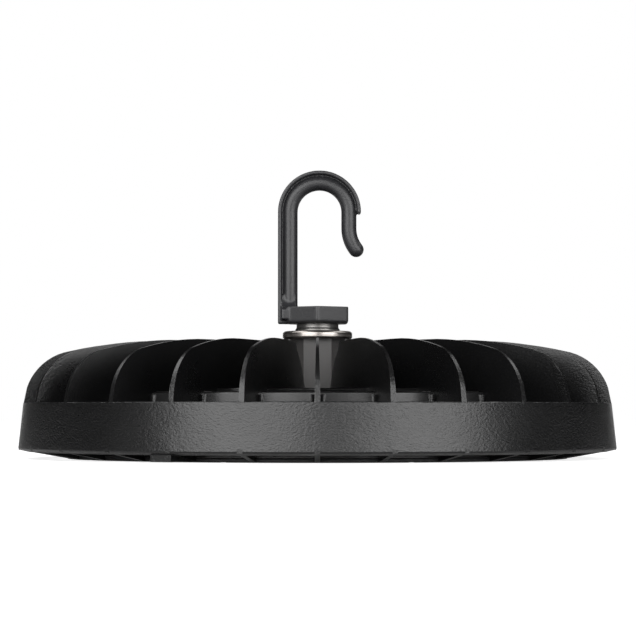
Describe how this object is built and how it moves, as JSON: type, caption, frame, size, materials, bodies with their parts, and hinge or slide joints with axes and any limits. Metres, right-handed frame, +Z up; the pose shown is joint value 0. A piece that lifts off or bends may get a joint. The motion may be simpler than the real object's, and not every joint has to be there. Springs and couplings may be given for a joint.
{
  "type": "high bay light",
  "caption": "Round slim LED high bay light with a black finned die-cast housing, lens underneath and a suspension hook on top.",
  "frame": {"origin": "centre of the light's lower face, on the axis of the round housing", "axes": "+Z up along the housing's axis towards the hook, -Y towards the front, the hook's plane is XZ"},
  "size_m": [0.3, 0.3, 0.1453],
  "materials": {
    "black_casting": "satin powder coat with a fine leather grain",
    "hook_black": "smooth satin black",
    "turned_steel": "turned, lightly polished",
    "polished_steel": "bright turned",
    "seal_rubber": "matte",
    "zinc_steel": "zinc plated",
    "gland_black": "fine moulded nylon",
    "lens_clear": "clear moulded polycarbonate",
    "bezel_black": "satin powder coat",
    "screw_steel": "stainless",
    "bare_aluminium": "milled",
    "board_white": "white solder mask",
    "phosphor": "yellow phosphor in a white frame",
    "lead_insulation": "silicone insulation",
    "tray_plastic": "flame-retardant plastic",
    "thermal_pad": "soft silicone pad",
    "board_green": "green solder mask",
    "transformer_tape": "polyester tape",
    "choke_copper": "enamelled copper winding",
    "capacitor_sleeve": "shrink sleeve"
  },
  "bodies": {
    "root": {"housing": "black_casting", "hook": "hook_black", "hook_collar": "turned_steel", "hook_washer": "polished_steel", "hook_seal": "seal_rubber", "hook_nut": "zinc_steel", "gland_body": "gland_black", "gland_seal": "seal_rubber", "gland_nut": "gland_black", "breather_vent": "gland_black", "lens_plate": "lens_clear", "lens_gasket": "seal_rubber", "lens_ring": "bezel_black", "lens_ring_screws": "screw_steel", "led_carrier": "bare_aluminium", "carrier_screws": "zinc_steel", "led_board": "board_white", "led_board_screws": "zinc_steel", "led_chips": "phosphor", "led_leads": "lead_insulation", "driver_tray": "tray_plastic", "driver_pad": "thermal_pad", "driver_board": "board_green", "driver_transformer": "transformer_tape", "driver_choke": "choke_copper", "driver_capacitors": "capacitor_sleeve", "driver_terminal": "tray_plastic", "driver_screws": "zinc_steel"}
  },
  "joints": []
}
